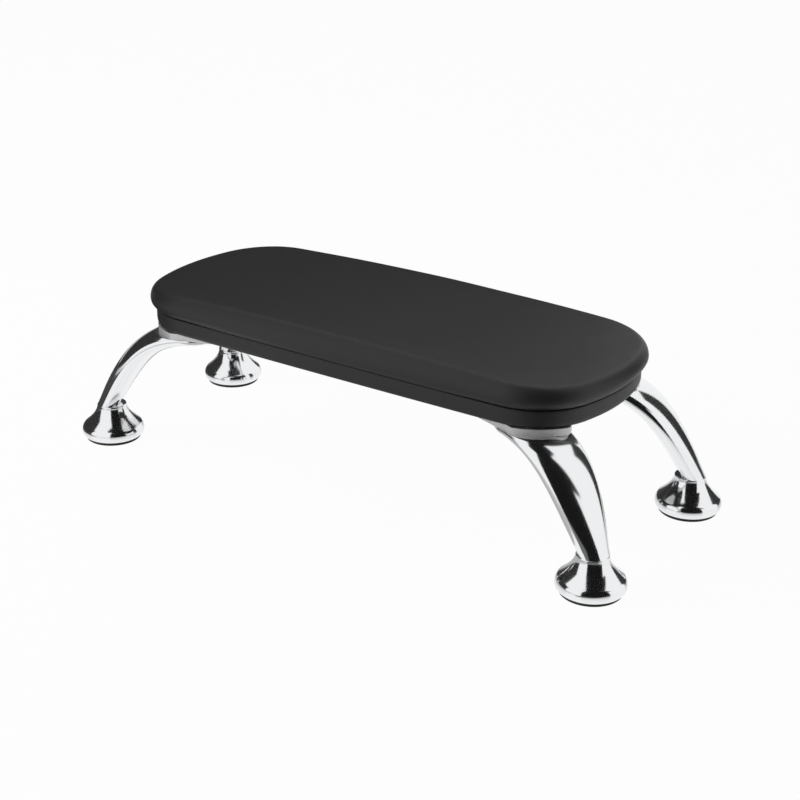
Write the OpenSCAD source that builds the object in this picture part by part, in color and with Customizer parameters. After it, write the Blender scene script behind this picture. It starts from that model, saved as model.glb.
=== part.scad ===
// Raised hand rest for manicures: a padded leatherette pad carried on four curved, chromed legs.
// Millimetres. The origin is on the table, below the middle of the pad. +X runs along the pad,
// +Y across it to the rear and +Z up.

/* [Pad] */
// Length of the pad over its widest bulge
pad_l = 390; // [340:1:450]
// Width of the pad over its widest bulge
pad_w = 160; // [150:1:200]
// Height of the pad's underside above the table
pad_base_z = 100; // [96:1:125]
// Radius of the pad's corners, seen from above
corner_r = 54; // [48:1:62]
// How far the middle of each short end bows out
end_bow = 3.5; // [1.5:0.5:6]
// How far the middle of each long side bows out
side_bow = 0.8; // [0.4:0.2:3]

/* [Cushion] */
// Height of the top edge at the short ends above the sewn seam
edge_h = 15.5; // [12:0.5:24]
// Height of the widest bulge above the sewn seam
bulge_h = 7; // [5:0.5:9]
// How far the cushion stands out past the seam
bulge_out = 6.5; // [4:0.5:8]
// Width of the rounding between the side and the top
edge_round = 7.5; // [5:0.5:12]
// Rise of the top from the short ends to the middle
crown_l = 5.8; // [2:0.2:8]
// Rise of the top from the long sides to the middle
crown_w = 1.2; // [0.4:0.2:4]
// Thickness of the leatherette
cover_t = 1.2; // [0.8:0.1:1.6]
// Width of the leatherette that is turned in at the seam
seam_turn = 8; // [5:0.5:12]

/* [Base] */
// Thickness of the plywood board
board_t = 10; // [9:0.5:15]
// Distance of the side band inside the widest bulge
band_in = 5; // [3.5:0.5:7]
// Rounding of the side band's top edge, at the seam
band_round = 0.8; // [0.4:0.1:1]
// How far the side band draws in at its lower edge
band_under = 2; // [1:0.5:3]
// Height of the rounding at the side band's lower edge
under_h = 4; // [3:0.5:6]
// Width of the band's hem under the board
hem_w = 18; // [15:1:24]
// Thickness of the cloth under the board
cloth_t = 0.6; // [0.4:0.1:1]
// Distance of the cloth's edge inside the side band
cloth_in = 8; // [7:0.5:10]

/* [Legs] */
// How far the feet reach past each short end of the pad
feet_past_end = 42; // [30:1:55]
// How far the feet reach past each long side of the pad
feet_past_side = 17; // [8:1:26]
// Distance of the legs' heads from the pad's long middle line, as a share of its width
head_place_share = 0.277; // [0.24:0.005:0.32]
// Level distance from the middle of the foot to the end of the leg's curve
leg_reach = 88; // [82:1:92]
// Width of the leg at the ankle
ankle_w = 21.6; // [19:0.2:22]
// Thickness of the leg at the ankle
ankle_t = 15.4; // [14:0.2:16.6]
// Thickness of the leg half way up
shin_t = 17.4; // [15:0.2:20]
// Width of the leg at its head
head_w = 43.5; // [38:0.5:52]
// Thickness of the leg at its head, with the mounting plate
head_t = 10; // [9:0.5:13]
// How far the leg leans in at the ankle, from upright
ankle_lean = 27; // [20:1:32]
// Length of the steep part of the curve
steep_l = 60; // [50:1:66]
// Length of the level part of the curve
level_l = 46; // [36:1:52]
// Length of the rounded nose at the leg's head
nose_l = 24; // [16:1:28]
// How far the ankle sits outwards of the foot's axis
ankle_shift = 2; // [1:0.5:2.5]

/* [Feet] */
// Radius of the bell foot at its rim
rim_r = 24; // [22.5:0.5:28]
// Height of the bell foot's widest ring above its glide
rim_h = 4.2; // [4.2:0.1:5]
// Rounding of the rim below the widest ring
rim_round = 4.8; // [4.2:0.2:5]
// Height of the rounding above the widest ring
rim_rise = 6.6; // [5:0.2:8]
// Radius of the bell foot at its neck
neck_r = 11.2; // [10.8:0.1:12.5]
// Height of the neck's top, where the leg stands
neck_z = 28; // [26:0.5:31]
// Wall of the bell foot
bell_wall = 3; // [2:0.2:3.4]
// Depth of the solid boss under the neck's top
boss_h = 8; // [6:0.5:9]
// Thickness of the rubber glide below the bell
glide_t = 2.4; // [1:0.1:3]
// Radius of the rubber glide
glide_r = 21.2; // [20.2:0.1:21.4]
// Height of the plug that holds the glide in the bell
plug_h = 3; // [2:0.5:4]

/* [Mounting plates] */
// Thickness of the mounting plates
plate_t = 5; // [4:0.5:5.5]
// Radius of a plate's outer end, under the pad's corner
plate_end_r = 21.5; // [19:0.5:23]
// Length of a plate, from its outer end to its back edge
plate_l = 69.5; // [68:0.5:76]
// How far a plate's middle line lies beside the leg's, towards the pad's middle
plate_shift = 1; // [0:0.5:5]
// Distance that a plate keeps inside the side band
plate_in = 0.5; // [0.5:0.5:3]
// Width of the plate's margin round a screw
plate_margin = 8; // [6:0.5:9]
// Distance from a plate's back screws to its side screw, along the leg
side_screw_pitch = 22; // [18:1:26]

/* [Fasteners] */
// Shank radius of the plate screws
screw_r = 2; // [1.5:0.1:2.2]
// Length of the plate screws below their heads
screw_l = 16; // [13:0.5:16.5]
// Head radius of the plate screws
screw_head_r = 4; // [3.4:0.1:4.4]
// Head height of the plate screws
screw_head_h = 2.6; // [2:0.1:3]
// Shank radius of the countersunk bolts that hold a leg to its plate
bolt_r = 2.5; // [2:0.1:2.6]
// Depth of the bolts in the leg
bolt_in = 5.5; // [4:0.5:6]
// Head radius of the bolts
bolt_head_r = 4.6; // [4:0.1:5]
// Head height of the bolts
bolt_head_h = 2.6; // [2:0.1:3]
// Distance between a leg's two bolts
bolt_pitch = 14; // [12:1:17]
// Shank radius of the foot screws
foot_screw_r = 3; // [2.5:0.1:3]
// Depth of the foot screws in the leg
foot_screw_in = 10.5; // [8:0.5:12]
// Head radius of the foot screws
foot_screw_head_r = 5; // [4.5:0.1:5.6]
// Head height of the foot screws
foot_screw_head_h = 3.6; // [3:0.1:4]
// Length of a staple's crown
staple_w = 10; // [8:0.5:12]
// Length of a staple's legs
staple_l = 7; // [6:0.5:8]
// Width of the staples' wire
staple_wire_w = 1.2; // [0.9:0.1:1.4]
// Thickness of the staples' wire
staple_wire_t = 0.6; // [0.4:0.1:0.7]
// Distance between staples
staple_pitch = 22.5; // [18:0.5:30]

/* [Hidden] */

// Overrun of a cut past the face that it opens
overrun = 1;
// Clearance between soft layers, and of the glide's plug
soft_gap = 0.3;
// Clearance of a screw or a staple in its hole, all round
hole_gap = 0.1;
// Clearance of a screw in a hole that it only passes through
pass_gap = 0.4;
// Facets of small and of large round parts
small_fn = 32;
large_fn = 96;

// Heights of the layers, from the underside up
hem_z = pad_base_z + cloth_t + soft_gap;
board_z = hem_z + cover_t;
board_top_z = board_z + board_t;
seam_z = board_top_z + cover_t;
bulge_z = seam_z + bulge_h;
edge_z = seam_z + edge_h;
plate_z = pad_base_z - plate_t;

// The board lies inside the band, and the foam inside the leatherette
board_in = band_in + cover_t + soft_gap;
seam_in = bulge_out + seam_turn;
hem_in = band_in + hem_w;

// The pad's outline: an inner line with slightly bowed sides, and the outward direction at each place
end_steps = 2;
arc_steps = 7;
side_steps = 3;
end_x = pad_l / 2 - corner_r;
side_y = pad_w / 2 - corner_r;
arc_x = end_x - end_bow;
arc_y = side_y - side_bow;
arc_from = atan2(2 * end_bow, arc_y);
arc_to = atan2(arc_x, 2 * side_bow);

function unit(v) = v / norm(v);
function end_station(t) = [[end_x - end_bow * t * t, arc_y * t], unit([arc_y, 2 * end_bow * t])];
function side_station(t) = [[arc_x * t, side_y - side_bow * t * t], unit([2 * side_bow * t, arc_x])];
function arc_station(t) =
    let (a = arc_from + (arc_to - arc_from) * t)
    [[arc_x, arc_y], [cos(a), sin(a)]];
function flip(s, x, y) = [[s[0][0] * x, s[0][1] * y], [s[1][0] * x, s[1][1] * y]];

function quarter(arcs) = concat(
    [for (k = [0:end_steps - 1]) end_station(k / end_steps)],
    [for (k = [0:arcs]) arc_station(k / arcs)],
    [for (k = [1:side_steps]) side_station(1 - k / side_steps)]
);
function mirrored(quarter) =
    let (last = len(quarter) - 1)
    concat(
        quarter,
        [for (i = [last - 1:-1:0]) flip(quarter[i], -1, 1)],
        [for (i = [1:last]) flip(quarter[i], -1, -1)],
        [for (i = [last - 1:-1:1]) flip(quarter[i], 1, -1)]
    );
stations = mirrored(quarter(arc_steps));
fine_stations = mirrored(quarter(3 * arc_steps));

// The outline, drawn in from the widest bulge
function outline(inset, line = stations) = [for (s = line) s[0] + (corner_r - inset) * s[1]];
function flat_ring(inset, z) = [for (p = outline(inset)) [p[0], p[1], z]];

// Angles of the rings round the cushion's side: below zero under the bulge, above it over the edge
side_angles = [-90, -60, -30, 0, 22.5, 45, 67.5, 90];
// Sizes of the rings on the cushion's top, as shares of the edge ring
top_ring_shares = [0.78, 0.52, 0.26];

function rise_at(x) = crown_l * (1 - pow(2 * x / pad_l, 2));
function side_ring(a, skin) =
    let (reach = a < 0 ? bulge_out : edge_round)
    let (height = a < 0 ? bulge_h : edge_h - bulge_h)
    let (z = bulge_z + (height - skin) * sin(a))
    [for (p = outline(skin + (reach - skin) * (1 - cos(a)))) [p[0], p[1], z + max(0, sin(a)) * rise_at(p[0])]];
function top_ring(share, skin) =
    let (z = edge_z - skin + crown_w * (1 - share * share))
    [for (p = outline(edge_round)) [share * p[0], share * p[1], z + rise_at(share * p[0])]];
function cushion_rings(skin) = concat(
    [for (a = side_angles) side_ring(a, skin)],
    [for (s = top_ring_shares) top_ring(s, skin)]
);
function top_point(skin) = [0, 0, edge_z - skin + crown_w + crown_l];
function reversed(list) = [for (i = [len(list) - 1:-1:0]) list[i]];

// Faces between two neighbouring rings of m points, seen from outside the solid
function ring_faces(m, from, to) = concat(
    [for (j = [0:m - 1]) [from + j, to + j, to + (j + 1) % m]],
    [for (j = [0:m - 1]) [from + j, to + (j + 1) % m, from + (j + 1) % m]]
);

// A closed solid through rings of equal count, with a point in the middle of each end
module ring_solid(rings, first, final) {
    m = len(rings[0]);
    n = len(rings);
    top = m * n + 1;
    polyhedron(
        points = concat([first], [for (r = rings) each r], [final]),
        faces = concat(
            [for (j = [0:m - 1]) [0, 1 + j, 1 + (j + 1) % m]],
            [for (i = [0:n - 2]) each ring_faces(m, 1 + i * m, 1 + (i + 1) * m)],
            [for (j = [0:m - 1]) [1 + (n - 1) * m + j, top, 1 + (n - 1) * m + (j + 1) % m]]
        )
    );
}

// A closed loop of rings, the last one joined to the first, such as a hollow band
module ring_loop(rings) {
    m = len(rings[0]);
    n = len(rings);
    polyhedron(
        points = [for (r = rings) each r],
        faces = [for (i = [0:n - 1]) each ring_faces(m, i * m, (i + 1) % n * m)]
    );
}

// A flat layer of the pad
module layer(inset, from_z, to_z, line = stations) {
    translate([0, 0, from_z])
        linear_extrude(to_z - from_z)
            polygon(outline(inset, line));
}

// Puts the rear right corner's parts at another corner
module at_corner(left, front) {
    if (left && front)
        mirror([1, 0, 0])
            mirror([0, 1, 0])
                children();
    if (left && !front)
        mirror([1, 0, 0])
            children();
    if (!left && front)
        mirror([0, 1, 0])
            children();
    if (!left && !front)
        children();
}

// Puts the parts of one corner at all four
module at_corners() {
    for (left = [false, true])
        for (front = [false, true])
            at_corner(left, front)
                children();
}

// A leg's own frame: X runs from the foot in under the pad, Y to the pad's middle, Z up
foot_x = pad_l / 2 + feet_past_end - rim_r;
foot_y = pad_w / 2 + feet_past_side - rim_r;
leg_angle = asin((foot_y - head_place_share * pad_w) / leg_reach);
module at_foot() {
    translate([foot_x, foot_y, 0])
        rotate([0, 0, 180 + leg_angle])
            children();
}

// The leg's curve: a cubic from the ankle to the head, as [in, up]
head_z = pad_base_z - head_t / 2;
curve_points = [
    [-ankle_shift, neck_z],
    [-ankle_shift + steep_l * sin(ankle_lean), neck_z + steep_l * cos(ankle_lean)],
    [leg_reach - level_l, head_z],
    [leg_reach, head_z]
];
curve_powers = [1, 3, 3, 1];
function curve(t) = [for (axis = [0, 1])
    curve_powers * [for (k = [0:3]) pow(1 - t, 3 - k) * pow(t, k) * curve_points[k][axis]]];
function heading(t) =
    unit(pow(1 - t, 2) * (curve_points[1] - curve_points[0])
        + 2 * t * (1 - t) * (curve_points[2] - curve_points[1])
        + t * t * (curve_points[3] - curve_points[2]));

// The width grows fast near the ankle and little near the head, and the thickness swells half way up
width_growth_share = 4;
function half_width(t) = (head_w - (head_w - ankle_w) * pow(1 - t, width_growth_share)) / 2;
function half_thickness(t) =
    (ankle_t * (1 - t) * (1 - 2 * t) + 4 * shin_t * t * (1 - t) + head_t * t * (2 * t - 1)) / 2;

leg_sides = 24;
leg_steps = 16;
nose_share = 0.85;
nose_angles = [18, 36, 54, 70, 82];

// One section across the leg, drawn in by a share at the nose, and cut level under the plate
function leg_ring(t, share, ahead) =
    let (c = curve(t) + [ahead, 0])
    let (up = [-heading(t)[1], heading(t)[0]])
    [for (k = [0:leg_sides - 1])
        let (a = 360 * k / leg_sides)
        let (p = c + share * half_thickness(t) * sin(a) * up)
        [p[0], share * half_width(t) * cos(a), min(p[1], plate_z)]];

// The lowest section is slid along the leg until it lies level on the neck of the foot
function levelled(ring) =
    [for (p = ring) p + (neck_z - p[2]) / heading(0)[1] * [heading(0)[0], 0, heading(0)[1]]];

leg_rings = concat(
    [levelled(leg_ring(0, 1, 0))],
    [for (k = [1:leg_steps]) leg_ring(nose_share * k / leg_steps, 1, 0)],
    [for (a = nose_angles) leg_ring(nose_share, cos(a), nose_l * sin(a))]
);
function middle(ring) = [for (axis = [0:2]) [for (p = ring) p[axis]] * [for (p = ring) 1] / len(ring)];

// Places of the plate screws in the leg's frame, clear of the leg's head
nose_u = curve(nose_share)[0];
screw_behind = screw_head_r + 4 * pass_gap;
back_screws = nose_u + nose_l + screw_behind;
screw_places = [
    [back_screws, plate_shift - plate_end_r + plate_margin],
    [back_screws, plate_shift + plate_end_r - plate_margin],
    [back_screws - side_screw_pitch, half_width(nose_share) + screw_behind]
];
plate_end_place = [back_screws + plate_margin - plate_l + plate_end_r, plate_shift];

// Places of the bolts in the leg's frame, the first one where the nose begins
bolt_places = [[nose_u, 0], [nose_u - bolt_pitch, 0]];

// Rows of staples between the mounting plates
plates_from_x = foot_x - back_screws - plate_margin;
staple_count = floor((plates_from_x - staple_w / 2) / staple_pitch);
hem_staple_in = band_in + cloth_in / 2;
cloth_staple_in = band_in + cloth_in + 4 * staple_wire_w;

module staple_places(inset) {
    for (side = [-1, 1]) {
        for (k = [-staple_count:staple_count])
            translate([k * staple_pitch, side * (pad_w / 2 - inset), 0])
                children();
        for (k = [-1, 1])
            translate([side * (pad_l / 2 - inset), k * staple_pitch / 2, 0])
                rotate([0, 0, 90])
                    children();
    }
}

// One staple, its crown under the given height and its legs up in the board
module staple(z) {
    translate([-staple_w / 2, -staple_wire_w / 2, z - staple_wire_t])
        cube([staple_w, staple_wire_w, staple_wire_t]);
    for (side = [-1, 1])
        translate([side * (staple_w - staple_wire_t) / 2 - staple_wire_t / 2, -staple_wire_w / 2, z - staple_wire_t])
            cube([staple_wire_t, staple_wire_w, staple_l]);
}

// The two slots that a staple's legs pass through
module staple_slots(z) {
    for (side = [-1, 1])
        translate([
            side * (staple_w - staple_wire_t) / 2 - staple_wire_t / 2 - hole_gap,
            -staple_wire_w / 2 - hole_gap,
            z - overrun
        ])
            cube([staple_wire_t + 2 * hole_gap, staple_wire_w + 2 * hole_gap, staple_l + overrun]);
}

// All slots for the staples in the band and the board
module all_slots() {
    staple_places(hem_staple_in)
        staple_slots(hem_z);
    staple_places(cloth_staple_in)
        staple_slots(pad_base_z);
}

// Puts the plate screws at all four corners
module at_plate_screws() {
    at_corners()
        at_foot()
            for (p = screw_places)
                translate([p[0], p[1], plate_z])
                    children();
}

module top_panel() {
    color([0.2, 0.2, 0.21])
        ring_solid(
            concat(
                reversed(cushion_rings(cover_t)),
                [flat_ring(seam_in, seam_z + cover_t), flat_ring(seam_in, seam_z)],
                cushion_rings(0)
            ),
            top_point(cover_t),
            top_point(0)
        );
}

// The rounding at the lower edge of the band and the board
under_angles = [0, 30, 60, 90];
function under_ring(a, inset, z) = flat_ring(inset + band_under * (1 - sin(a)), z + under_h * (1 - cos(a)));

module side_band() {
    color([0.22, 0.22, 0.23])
        difference() {
            ring_loop(concat(
                [flat_ring(hem_in, board_z), flat_ring(hem_in, hem_z)],
                [for (a = under_angles) under_ring(a, band_in, hem_z)],
                [flat_ring(band_in, seam_z - band_round), flat_ring(band_in + band_round, seam_z)],
                [flat_ring(seam_in, seam_z), flat_ring(seam_in, board_top_z)],
                [flat_ring(band_in + cover_t, board_top_z)],
                [for (a = reversed(under_angles)) under_ring(a, band_in + cover_t, board_z)]
            ));
            all_slots();
            at_plate_screws()
                cylinder(r = screw_r + pass_gap, h = board_z - plate_z + overrun, $fn = small_fn);
        }
}

module foam_core() {
    skin = cover_t + soft_gap;
    lift = seam_z + skin;
    inner_rings = [for (a = side_angles) if (a > -90) side_ring(a, skin)];
    color([0.93, 0.9, 0.78])
        ring_solid(
            concat(
                [flat_ring(seam_in + soft_gap, board_top_z), flat_ring(seam_in + soft_gap, lift)],
                [flat_ring(bulge_out, lift)],
                inner_rings,
                [for (s = top_ring_shares) top_ring(s, skin)]
            ),
            [0, 0, board_top_z],
            top_point(skin)
        );
}

module base_board() {
    color([0.78, 0.62, 0.42])
        difference() {
            ring_solid(
                concat(
                    [for (a = under_angles) under_ring(a, board_in, board_z)],
                    [flat_ring(board_in, board_top_z)]
                ),
                [0, 0, board_z],
                [0, 0, board_top_z]
            );
            all_slots();
            at_plate_screws()
                cylinder(r = screw_r + hole_gap, h = screw_l + hole_gap, $fn = small_fn);
        }
}

module underside_cloth() {
    color([0.08, 0.08, 0.08])
        difference() {
            layer(band_in + cloth_in, pad_base_z, pad_base_z + cloth_t);
            staple_places(cloth_staple_in)
                staple_slots(pad_base_z);
            at_plate_screws()
                cylinder(r = screw_r + pass_gap, h = board_z - plate_z, $fn = small_fn);
        }
}

module hem_staples() {
    color("silver")
        staple_places(hem_staple_in)
            staple(hem_z);
}

module cloth_staples() {
    color("silver")
        staple_places(cloth_staple_in)
            staple(pad_base_z);
}

module leg() {
    color([0.82, 0.83, 0.85])
        at_foot()
            difference() {
                ring_solid(leg_rings, middle(leg_rings[0]), middle(leg_rings[len(leg_rings) - 1]));
                translate([0, 0, neck_z - overrun])
                    cylinder(
                        r = foot_screw_r + hole_gap,
                        h = foot_screw_in + 2 * hole_gap + overrun,
                        $fn = small_fn
                    );
                for (p = bolt_places)
                    translate([p[0], p[1], plate_z - bolt_in - 2 * hole_gap])
                        cylinder(r = bolt_r + hole_gap, h = bolt_in + 2 * hole_gap + overrun, $fn = small_fn);
            }
}

// A pear-shaped plate on the leg's head, kept inside the pad's edge
module plate() {
    color([0.66, 0.67, 0.68])
        difference() {
            intersection() {
                at_foot()
                    translate([0, 0, plate_z])
                        linear_extrude(plate_t)
                            hull() {
                                for (p = screw_places)
                                    translate(p)
                                        circle(r = plate_margin, $fn = large_fn);
                                translate(plate_end_place)
                                    circle(r = plate_end_r, $fn = large_fn);
                            }
                layer(band_in + plate_in, plate_z - overrun, pad_base_z + overrun, fine_stations);
            }
            at_foot() {
                for (p = screw_places)
                    translate([p[0], p[1], plate_z - overrun])
                        cylinder(r = screw_r + pass_gap, h = plate_t + 2 * overrun, $fn = small_fn);
                for (p = bolt_places) {
                    translate([p[0], p[1], plate_z - overrun])
                        cylinder(r = bolt_r + hole_gap, h = plate_t + 2 * overrun, $fn = small_fn);
                    translate([p[0], p[1], pad_base_z - bolt_head_h])
                        cylinder(
                            r1 = bolt_r + hole_gap,
                            r2 = bolt_head_r + hole_gap,
                            h = bolt_head_h,
                            $fn = small_fn
                        );
                    translate([p[0], p[1], pad_base_z])
                        cylinder(r = bolt_head_r + hole_gap, h = overrun, $fn = small_fn);
                }
            }
        }
}

// A countersunk bolt, its head flush with the plate, with a hexagonal socket
socket_share = 0.5;
module leg_bolt() {
    translate([0, 0, pad_base_z - hole_gap])
        difference() {
            union() {
                translate([0, 0, -bolt_head_h])
                    cylinder(r1 = bolt_r, r2 = bolt_head_r, h = bolt_head_h, $fn = small_fn);
                translate([0, 0, -plate_t - bolt_in])
                    cylinder(r = bolt_r, h = plate_t + bolt_in - bolt_head_h / 2, $fn = small_fn);
            }
            translate([0, 0, -bolt_head_h * socket_share])
                cylinder(r = bolt_r * socket_share, h = bolt_head_h, $fn = 6);
        }
}

module leg_bolts() {
    color([0.72, 0.72, 0.74])
        at_corners()
            at_foot()
                for (p = bolt_places)
                    translate([p[0], p[1], 0])
                        leg_bolt();
}

// A pan-head screw, its head under the given height, with a cross recess
recess_share = 0.55;
recess_w_share = 0.22;
head_curve_shares = [[0.45, 1], [0.75, 0.8], [0.95, 0.45], [1, 0]];
module pan_screw(shank_r, shank_l, head_r, head_h) {
    difference() {
        union() {
            cylinder(r = shank_r, h = shank_l, $fn = small_fn);
            rotate_extrude($fn = small_fn)
                polygon(concat(
                    [[0, 0], [0, -head_h]],
                    [for (s = head_curve_shares) [head_r * s[0], -head_h * s[1]]]
                ));
        }
        for (turn = [0, 90])
            rotate([0, 0, turn])
                translate([-head_r * recess_share, -head_r * recess_w_share / 2, -head_h - overrun])
                    cube([2 * head_r * recess_share, head_r * recess_w_share, head_h * recess_share + overrun]);
    }
}

module plate_screws() {
    color([0.72, 0.72, 0.74])
        at_plate_screws()
            pan_screw(screw_r, screw_l, screw_head_r, screw_head_h);
}

// The bell foot's outer side: a rounded rim, then a hollow flare up to the neck
rim_low = -54;
rim_high = 50;
rim_steps = 8;
flare_steps = 12;
flare_bend_share = 1.85;
neck_edge = 0.6;
boss_z = neck_z - boss_h;
rim_z = glide_t + rim_h;
flare_z = rim_z + rim_rise * sin(rim_high);
flare_r = rim_r - rim_round * (1 - cos(rim_high));
function rim_point(a) = [rim_r - rim_round * (1 - cos(a)), rim_z + (a < 0 ? rim_round : rim_rise) * sin(a)];
function flare_at(z) = neck_r + (flare_r - neck_r) * pow((neck_z - z) / (neck_z - flare_z), flare_bend_share);
bell_outside = concat(
    [[rim_point(rim_low)[0] - neck_edge, glide_t]],
    [for (k = [0:rim_steps]) rim_point(rim_low + (rim_high - rim_low) * k / rim_steps)],
    [for (k = [1:flare_steps - 1])
        let (z = flare_z + (neck_z - flare_z) * k / flare_steps)
        [flare_at(z), z]],
    [[neck_r, neck_z - neck_edge], [neck_r - neck_edge, neck_z]]
);
plug_r = glide_r - bell_wall;
bell_inside = concat(
    [[foot_screw_r + pass_gap, neck_z], [foot_screw_r + pass_gap, boss_z]],
    [for (k = [flare_steps:-1:0])
        let (z = flare_z + (boss_z - flare_z) * k / flare_steps)
        [min(flare_at(z) - bell_wall, plug_r), z]],
    [[plug_r, glide_t]]
);

module foot() {
    color([0.84, 0.85, 0.87])
        translate([foot_x, foot_y, 0])
            rotate_extrude($fn = large_fn)
                polygon(concat(bell_outside, bell_inside));
}

module glide() {
    color([0.1, 0.1, 0.1])
        translate([foot_x, foot_y, 0])
            rotate_extrude($fn = large_fn)
                polygon([
                    [0, 0],
                    [glide_r - glide_t / 2, 0],
                    [glide_r, glide_t / 2],
                    [glide_r, glide_t],
                    [plug_r - soft_gap, glide_t],
                    [plug_r - soft_gap, glide_t + plug_h],
                    [0, glide_t + plug_h]
                ]);
}

module foot_screws() {
    color([0.72, 0.72, 0.74])
        at_corners()
            translate([foot_x, foot_y, boss_z])
                pan_screw(foot_screw_r, boss_h + foot_screw_in, foot_screw_head_r, foot_screw_head_h);
}

top_panel();
side_band();
foam_core();
base_board();
underside_cloth();
hem_staples();
cloth_staples();
at_corner(true, true) leg();  // leg_front_left
at_corner(false, true) leg();  // leg_front_right
at_corner(true, false) leg();  // leg_rear_left
at_corner(false, false) leg();  // leg_rear_right
at_corner(true, true) plate();  // plate_front_left
at_corner(false, true) plate();  // plate_front_right
at_corner(true, false) plate();  // plate_rear_left
at_corner(false, false) plate();  // plate_rear_right
leg_bolts();
plate_screws();
at_corner(true, true) foot();  // foot_front_left
at_corner(false, true) foot();  // foot_front_right
at_corner(true, false) foot();  // foot_rear_left
at_corner(false, false) foot();  // foot_rear_right
at_corner(true, true) glide();  // glide_front_left
at_corner(false, true) glide();  // glide_front_right
at_corner(true, false) glide();  // glide_rear_left
at_corner(false, false) glide();  // glide_rear_right
foot_screws();
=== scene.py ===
"""Looks of the raised hand rest: a padded leatherette pad on four chromed legs with bell feet.

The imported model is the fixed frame. Soft and polished pieces are built again here on the same
lines, with fine meshes, and stand for their plain solids. Board, plates and fasteners stay.
"""

import logging
import math
from dataclasses import dataclass, field
from enum import Enum
from typing import Any, Iterable, Sequence

import bmesh
import bpy
import numpy as np
from mathutils import Matrix, Vector, noise


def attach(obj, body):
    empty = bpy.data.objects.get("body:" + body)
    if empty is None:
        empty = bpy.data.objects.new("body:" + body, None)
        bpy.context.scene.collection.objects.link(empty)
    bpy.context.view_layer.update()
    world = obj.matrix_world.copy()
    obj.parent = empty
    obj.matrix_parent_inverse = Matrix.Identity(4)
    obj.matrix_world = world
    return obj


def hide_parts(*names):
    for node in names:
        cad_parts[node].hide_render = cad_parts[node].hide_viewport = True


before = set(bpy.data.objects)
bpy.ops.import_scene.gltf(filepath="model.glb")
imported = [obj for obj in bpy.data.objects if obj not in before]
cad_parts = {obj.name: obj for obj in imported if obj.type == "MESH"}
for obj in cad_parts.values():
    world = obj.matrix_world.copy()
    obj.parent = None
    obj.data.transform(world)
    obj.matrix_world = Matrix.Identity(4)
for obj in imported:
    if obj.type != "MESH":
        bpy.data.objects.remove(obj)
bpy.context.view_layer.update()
log = logging.getLogger("hand_rest")

MM = 0.001
BODY = "root"
MIDDLE = 0.5
Ring = np.ndarray
Rings = list[np.ndarray]
Sockets = dict[Any, Any]
Colour = tuple[float, float, float, float]
Layers = tuple["Value", ...]
Section = list[tuple[float, float]]


class Corner(Enum):
    """The pad's four corners, as the signs of x and y."""

    FRONT_LEFT = (-1, -1)
    FRONT_RIGHT = (1, -1)
    REAR_LEFT = (-1, 1)
    REAR_RIGHT = (1, 1)

    @property
    def label(self) -> str:
        """The corner's words, as the CAD nodes end in."""
        return self.name.lower()


class Ends(Enum):
    """How a loft is closed."""

    OPEN = "open"
    CAPPED = "capped"
    LOOP = "loop"


# Shader building


def grey(level: float, warmth: float = 0.0) -> Colour:
    """A linear grey as a colour, with a share added to red and taken from blue."""
    return (level * (1 + warmth), level, level * (1 - warmth), 1.0)


@dataclass(frozen=True)
class Grain:
    """A noise: waves to the metre, alike or for each axis, octaves, and the finer ones' share."""

    waves: float | tuple[float, float, float]
    octaves: float = 2.0
    finer: float = 0.5


@dataclass(frozen=True)
class Relief:
    """A bump: metres between heights 0 and 1, and the share of it that shows."""

    depth: float
    share: float


class Value:
    """A shader socket whose arithmetic adds Math nodes."""

    def __init__(self, shader: "Shader", socket: bpy.types.NodeSocket) -> None:
        """Wraps an output socket of a shader."""
        self.shader = shader
        self.socket = socket

    def _math(self, operation: str, first: Any, second: Any) -> "Value":
        """Adds one Math node and returns its output."""
        return self.shader.node("ShaderNodeMath", {"operation": operation}, {0: first, 1: second})

    def __add__(self, other: Any) -> "Value":
        """Sum of two values."""
        return self._math("ADD", self, other)

    __radd__ = __add__

    def __sub__(self, other: Any) -> "Value":
        """Difference of two values."""
        return self._math("SUBTRACT", self, other)

    def __rsub__(self, other: Any) -> "Value":
        """Difference from a number."""
        return self._math("SUBTRACT", other, self)

    def __mul__(self, other: Any) -> "Value":
        """Product of two values."""
        return self._math("MULTIPLY", self, other)

    __rmul__ = __mul__

    def largest(self, other: Any) -> "Value":
        """The larger of two values."""
        return self._math("MAXIMUM", self, other)


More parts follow.
